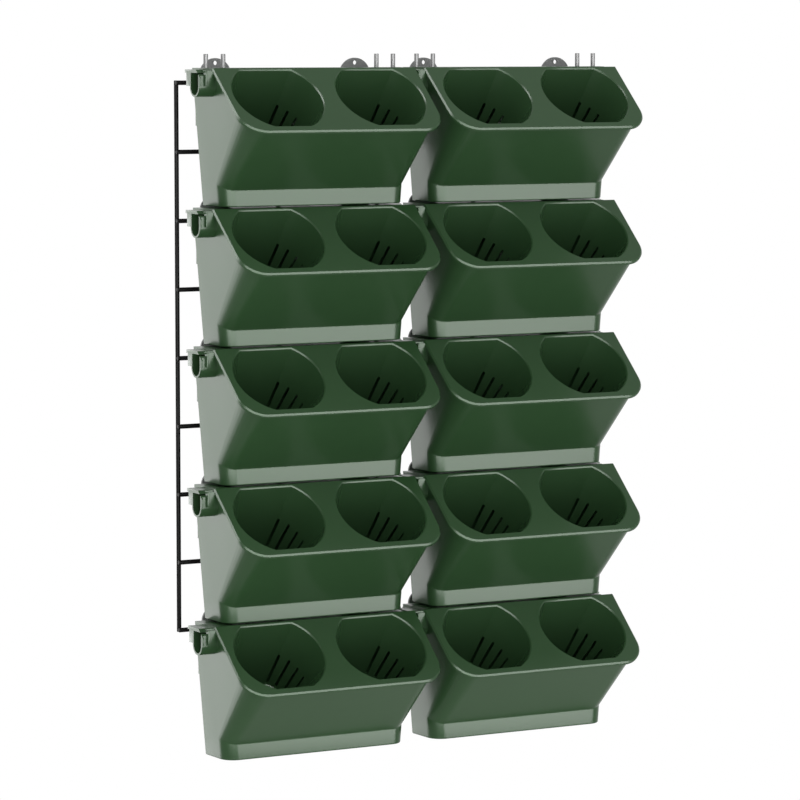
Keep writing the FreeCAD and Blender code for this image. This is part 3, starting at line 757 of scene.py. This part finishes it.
def drill_stub_holes(piece, hang, place):
    drills = []
    for spot in stub_spots(hang):
        new_selection()
        bpy.ops.mesh.primitive_cylinder_add(vertices=TUBE_SIDES, radius=hang.stub_tail_width / 2,
                                            depth=4 * hang.stub_tail_width, location=place + spot)
        drills.append(bpy.context.object)
        apply_place(drills[-1])
    combine(piece, "DIFFERENCE", *drills)
    clean(piece)


def model_stub(hang):
    """Tube that stands on the deck, with a narrower tail below."""
    new_selection()
    bpy.ops.mesh.primitive_cylinder_add(vertices=TUBE_SIDES, radius=hang.stub_diameter / 2,
                                        depth=hang.stub_top, location=(0, 0, hang.stub_top / 2))
    piece = bpy.context.object
    piece.name = "stub_form"
    apply_place(piece)
    edit(piece)
    choose("FACE", lambda face: face.normal.z < -FACING)
    bpy.ops.mesh.inset(thickness=(hang.stub_diameter - hang.stub_tail_width) / 2)
    bpy.ops.mesh.extrude_region_move(TRANSFORM_OT_translate={"value": (0, 0, -hang.stub_tail)})
    bpy.ops.mesh.inset(thickness=(hang.stub_tail_width - hang.stub_bore) / 2)
    choose("FACE", lambda face: face.normal.z > FACING)
    bpy.ops.mesh.inset(thickness=(hang.stub_diameter - hang.stub_bore) / 2)
    choose("FACE", lambda face: len(face.verts) > CAP_SIDES)
    bpy.ops.mesh.bridge_edge_loops()
    done()
    round_edges(piece, lambda edge: all(v.co.z > hang.stub_top - NEAR for v in edge.verts),
                hang.edge_round, segments=3)
    clean(piece)
    return piece


def model_wire(name, hang, start, end):
    """Round wire with dressed ends between two points."""
    start, end = Vector(start), Vector(end)
    new_selection()
    turn = (end - start).to_track_quat("Z", "Y").to_euler()
    bpy.ops.mesh.primitive_cylinder_add(vertices=WIRE_SIDES, radius=hang.wire / 2,
                                        depth=(end - start).length, location=(start + end) / 2,
                                        rotation=turn)
    piece = bpy.context.object
    piece.name = name
    apply_place(piece)
    line = (end - start).normalized()
    round_edges(piece, lambda edge: abs((edge.verts[0].co - edge.verts[1].co).dot(line)) < NEAR,
                hang.wire_end, segments=3)
    clean(piece)
    return piece


class Value:
    """Wraps a node socket so that shader maths reads as plain arithmetic."""

    def __init__(self, shader, socket):
        self.shader = shader
        self.socket = socket

    def _math(self, operation, first, second):
        return self.shader.node("ShaderNodeMath", {"operation": operation}, {0: first, 1: second})

    def __add__(self, other):
        return self._math("ADD", self, other)

    def __radd__(self, other):
        return self._math("ADD", other, self)

    def __mul__(self, other):
        return self._math("MULTIPLY", self, other)

    def __rmul__(self, other):
        return self._math("MULTIPLY", other, self)

    def larger(self, other):
        return self._math("MAXIMUM", self, other)


class Shader:
    """The nodes of a material or of the world in the making."""

    def __init__(self, owner):
        self.owner = owner
        owner.use_nodes = True
        self.tree = owner.node_tree

    def node(self, kind, settings=None, values=None, output=0):
        """Add a node, set it up, feed its sockets and give one output."""
        item = self.tree.nodes.new(kind)
        for name, value in (settings or {}).items():
            setattr(item, name, value)
        self.set_inputs(item, values or {})
        return Value(self, item.outputs[output])

    def set_inputs(self, item, values):
        for name, value in values.items():
            if isinstance(value, Value):
                self.tree.links.new(value.socket, item.inputs[name])
            else:
                item.inputs[name].default_value = value

    def noise(self, scale, detail, rough=0.5):
        place = self.node("ShaderNodeTexCoord", output="Object")
        return self.node("ShaderNodeTexNoise", values={
            "Vector": place, "Scale": scale, "Detail": detail, "Roughness": rough}, output="Fac")

    def mix(self, factor, first, second):
        return self.node("ShaderNodeMix", {"data_type": "RGBA"}, {
            "Factor": factor, 6: (*first, 1), 7: (*second, 1)}, output=2)

    def bump(self, height, strength, distance):
        return self.node("ShaderNodeBump", None, {
            "Height": height, "Strength": strength, "Distance": distance})

    def feed(self, **values):
        """Feed the sockets of the material's surface, named with underscores for spaces."""
        self.set_inputs(self.tree.nodes["Principled BSDF"],
                        {name.replace("_", " "): value for name, value in values.items()})


def shade(tint, factor):
    return tuple(min(1, channel * factor) for channel in tint)


def moulded_plastic(name, tint):
    """Satin moulded plastic: fine spark texture, faint flow marks and uneven sheen."""
    look = Shader(bpy.data.materials.new(name))
    cloud = look.noise(scale=9, detail=2)
    grain = look.noise(scale=1400, detail=2, rough=0.6)
    flow = look.noise(scale=60, detail=3)
    look.feed(Base_Color=look.mix(cloud * 0.6 + flow * 0.4, shade(tint, 0.93), shade(tint, 1.07)),
              Roughness=0.20 + flow * 0.06 + grain * 0.04, Specular_IOR_Level=0.14,
              Normal=look.bump(grain + flow * 0.5, strength=0.12, distance=0.00005))
    return look.owner


def plated_steel(name, tint, bare):
    """Dull plated steel: brushed streaks and a cloudy sheen; bare is the share of bright metal."""
    look = Shader(bpy.data.materials.new(name))
    place = look.node("ShaderNodeTexCoord", output="Object")
    stretched = look.node("ShaderNodeMapping", None, {"Vector": place, "Scale": (1, 1, 0.04)})
    streak = look.node("ShaderNodeTexNoise", None, {
        "Vector": stretched, "Scale": 1800.0, "Detail": 2.0}, output="Fac")
    cloud = look.noise(scale=45, detail=3)
    look.feed(Base_Color=look.mix(streak * 0.4 + cloud * 0.6, shade(tint, 0.85), shade(tint, 1.15)),
              Roughness=0.36 + cloud * 0.12 + streak * 0.05, Metallic=bare, Specular_IOR_Level=0.05,
              Normal=look.bump(streak, strength=0.08, distance=0.00005))
    return look.owner


def coated_wire(name, tint):
    """Black powder coat with a fine orange-peel skin."""
    look = Shader(bpy.data.materials.new(name))
    peel = look.noise(scale=900, detail=2)
    cloud = look.noise(scale=30, detail=2)
    look.feed(Base_Color=look.mix(cloud, shade(tint, 0.8), shade(tint, 1.2)),
              Roughness=0.42 + peel * 0.1, Specular_IOR_Level=0.04,
              Normal=look.bump(peel, strength=0.2, distance=0.00008))
    return look.owner


class PLANTER_OT_pots(bpy.types.Operator):
    """Model the pot once and set ten of them in their places"""
    bl_idname = "planter.pots"
    bl_label = "Pots"

    def execute(self, context):
        scene = context.scene
        hang = scene.planter_hang
        form = model_pot(scene.planter_pot, scene.planter_insert, hang)
        plastic = moulded_plastic("pot_plastic", scene.planter_finish.plastic)
        for tier in TIERS:
            for side in SIDES:
                node = "pot_%d_%s" % (tier, side)
                piece = duplicate(form, node + "_shell", pot_place(node))
                if tier == 1:
                    drill_stub_holes(piece, hang, pot_place(node))
                dress(piece, plastic, "tier_%d" % tier, node)
        bpy.data.objects.remove(form)
        return {"FINISHED"}


class PLANTER_OT_loops(bpy.types.Operator):
    """Model a hanging loop once and set four on the backs of each tier"""
    bl_idname = "planter.loops"
    bl_label = "Hanging loops"

    def execute(self, context):
        scene = context.scene
        hang = scene.planter_hang
        form = model_loop(scene.planter_pot, hang)
        plastic = moulded_plastic("loop_plastic", scene.planter_finish.plastic)
        for tier in TIERS:
            straps = [duplicate(form, "strap", pot_place("pot_%d_%s" % (tier, side))
                                + Vector((turn * hang.hook_offset, 0, 0)))
                      for side in SIDES for turn in (-1, 1)]
            piece = merge("loops_%d_straps" % tier, straps)
            dress(piece, plastic, "tier_%d" % tier, "loops_%d" % tier)
        bpy.data.objects.remove(form)
        return {"FINISHED"}


class PLANTER_OT_inserts(bpy.types.Operator):
    """Model the planting insert once and set one in each pot"""
    bl_idname = "planter.inserts"
    bl_label = "Inserts"

    def execute(self, context):
        scene = context.scene
        form = model_insert(scene.planter_pot, scene.planter_insert)
        plastic = moulded_plastic("insert_plastic", scene.planter_finish.plastic)
        for tier in TIERS:
            for side in SIDES:
                node = "insert_%d_%s" % (tier, side)
                piece = duplicate(form, node + "_cups", pot_place("pot_%d_%s" % (tier, side)))
                dress(piece, plastic, node, node)
        bpy.data.objects.remove(form)
        return {"FINISHED"}


class PLANTER_OT_hooks(bpy.types.Operator):
    """Bend the hook strips and hang four on each tier's wire"""
    bl_idname = "planter.hooks"
    bl_label = "Hook strips"

    def execute(self, context):
        scene = context.scene
        hang = scene.planter_hang
        steel = plated_steel("strip_steel", scene.planter_finish.strip, bare=0.0)
        forms = {screwed: model_hook(scene.planter_pot, hang, screwed) for screwed in (True, False)}
        for tier in TIERS:
            strips = []
            for side in SIDES:
                place = pot_place("pot_%d_%s" % (tier, side))
                for turn in (-1, 1):
                    strips.append(duplicate(forms[tier == 1], "strip",
                                            place + Vector((turn * hang.hook_offset, 0, 0))))
            piece = merge("hooks_%d_strips" % tier, strips)
            dress(piece, steel, "frame", "hooks_%d" % tier)
        for form in forms.values():
            bpy.data.objects.remove(form)
        return {"FINISHED"}


class PLANTER_OT_stubs(bpy.types.Operator):
    """Turn the feed stubs and press four into each top deck"""
    bl_idname = "planter.stubs"
    bl_label = "Feed stubs"

    def execute(self, context):
        scene = context.scene
        hang = scene.planter_hang
        metal = plated_steel("stub_metal", scene.planter_finish.stub, bare=0.2)
        form = model_stub(hang)
        for side in SIDES:
            place = pot_place("pot_1_" + side)
            stubs = [duplicate(form, "stub", place + spot) for spot in stub_spots(hang)]
            piece = merge("feed_stubs_%s_tubes" % side, stubs)
            dress(piece, metal, "tier_1", "feed_stubs_" + side)
        bpy.data.objects.remove(form)
        return {"FINISHED"}


class PLANTER_OT_grid(bpy.types.Operator):
    """Lay the level wires and the uprights of the welded grid"""
    bl_idname = "planter.grid"
    bl_label = "Wire grid"

    def execute(self, context):
        scene = context.scene
        hang = scene.planter_hang
        coat = coated_wire("grid_coat", scene.planter_finish.coating)
        low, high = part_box("grid_levels")
        radius = hang.wire / 2
        level_y = (low.y + high.y) / 2
        rows = 2 * len(TIERS) - 1
        pitch = (high.z - low.z - hang.wire) / (rows - 1)
        levels = [model_wire("level", hang, (low.x, level_y, high.z - radius - k * pitch),
                             (high.x, level_y, high.z - radius - k * pitch)) for k in range(rows)]
        dress(merge("grid_levels_wires", levels), coat, "frame", "grid_levels")
        upright_y = level_y + hang.wire - hang.weld
        space = (high.x - low.x - hang.wire) / (GRID_COLUMNS - 1)
        uprights = [model_wire("upright", hang, (low.x + radius + k * space, upright_y, low.z),
                               (low.x + radius + k * space, upright_y, high.z))
                    for k in range(GRID_COLUMNS)]
        dress(merge("grid_uprights_wires", uprights), coat, "frame", "grid_uprights")
        return {"FINISHED"}


def lay_floor(tint):
    new_selection()
    bpy.ops.mesh.primitive_plane_add(size=FLOOR_SIZE, location=(0, 0, FLOOR_LEVEL))
    floor = bpy.context.object
    floor.name = "studio_floor"
    apply_place(floor)
    paint = Shader(bpy.data.materials.new("floor_paint"))
    fleck = paint.noise(scale=12, detail=2)
    paint.feed(Base_Color=paint.mix(fleck, shade(tint, 0.98), shade(tint, 1.0)), Roughness=0.7)
    floor.data.materials.append(paint.owner)


def white_room(scene):
    """World with one strength that lights the set and one that the camera, metal and glass see."""
    scene.world = bpy.data.worlds.new("studio")
    room = Shader(scene.world)
    room.tree.nodes.remove(room.tree.nodes["Background"])
    light, backdrop = [room.node("ShaderNodeBackground", None, {"Color": WHITE, "Strength": strength})
                       for strength in (ROOM_LIGHT, BACKDROP_LIGHT)]
    seen = room.node("ShaderNodeLightPath", output="Is Camera Ray")
    for kind in ("Is Glossy Ray", "Is Transmission Ray"):
        seen = seen.larger(room.node("ShaderNodeLightPath", output=kind))
    choice = room.node("ShaderNodeMixShader", None, {0: seen, 1: light, 2: backdrop})
    room.set_inputs(room.tree.nodes["World Output"], {"Surface": choice})


def place_lamps(scene):
    for name, around, above, distance, width, tall, power, shows in LAMPS:
        lamp = bpy.data.lights.new(name, "AREA")
        lamp.shape = "RECTANGLE"
        lamp.size = width
        lamp.size_y = tall
        lamp.energy = power
        holder = bpy.data.objects.new(name, lamp)
        scene.collection.objects.link(holder)
        turn, lift = radians(around), radians(above)
        line = Vector((sin(turn) * cos(lift), -cos(turn) * cos(lift), sin(lift)))
        holder.location = LAMP_TARGET + line * distance
        holder.rotation_euler = line.to_track_quat("Z", "Y").to_euler()
        holder.visible_camera = False
        holder.visible_diffuse = shows == "light"
        holder.visible_glossy = shows == "sheen"


def place_camera(scene):
    eye = bpy.data.cameras.new("photo_camera")
    eye.sensor_width = CAMERA_SENSOR
    eye.lens = CAMERA_LENS
    eye.shift_x = CAMERA_SHIFT
    eye.clip_end = CAMERA_REACH
    holder = bpy.data.objects.new("photo_camera", eye)
    scene.collection.objects.link(holder)
    holder.location = CAMERA_PLACE
    holder.rotation_euler = (pi / 2 - CAMERA_DOWN, 0, CAMERA_ROUND)
    scene.camera = holder


class PLANTER_OT_stage(bpy.types.Operator):
    """Set up the floor, the studio light and the camera"""
    bl_idname = "planter.stage"
    bl_label = "Stage"

    def execute(self, context):
        scene = context.scene
        lay_floor(scene.planter_finish.floor)
        white_room(scene)
        place_lamps(scene)
        place_camera(scene)
        scene.view_settings.view_transform = "Standard"
        return {"FINISHED"}


class PLANTER_PT_panel(bpy.types.Panel):
    """Lists the steps that build the set"""
    bl_idname = "PLANTER_PT_panel"
    bl_label = "Wall Planter Set"
    bl_space_type = "VIEW_3D"
    bl_region_type = "UI"
    bl_category = "Planter"

    def draw(self, context):
        for step in OPERATORS:
            self.layout.operator(step.bl_idname)


GROUPS = {"planter_pot": PotSizes, "planter_insert": InsertSizes, "planter_hang": HangingSizes,
          "planter_finish": Finishes}
OPERATORS = (PLANTER_OT_pots, PLANTER_OT_loops, PLANTER_OT_inserts, PLANTER_OT_hooks,
             PLANTER_OT_stubs, PLANTER_OT_grid, PLANTER_OT_stage)
CLASSES = (*GROUPS.values(), *OPERATORS, PLANTER_PT_panel)


def register():
    for item in CLASSES:
        bpy.utils.register_class(item)
    for name, group in GROUPS.items():
        setattr(bpy.types.Scene, name, bpy.props.PointerProperty(type=group))


def unregister():
    for name in GROUPS:
        delattr(bpy.types.Scene, name)
    for item in reversed(CLASSES):
        bpy.utils.unregister_class(item)


def main():
    register()
    bpy.ops.planter.pots()
    bpy.ops.planter.loops()
    bpy.ops.planter.inserts()
    bpy.ops.planter.hooks()
    bpy.ops.planter.stubs()
    bpy.ops.planter.grid()
    bpy.ops.planter.stage()


if __name__ == "__main__":
    main()
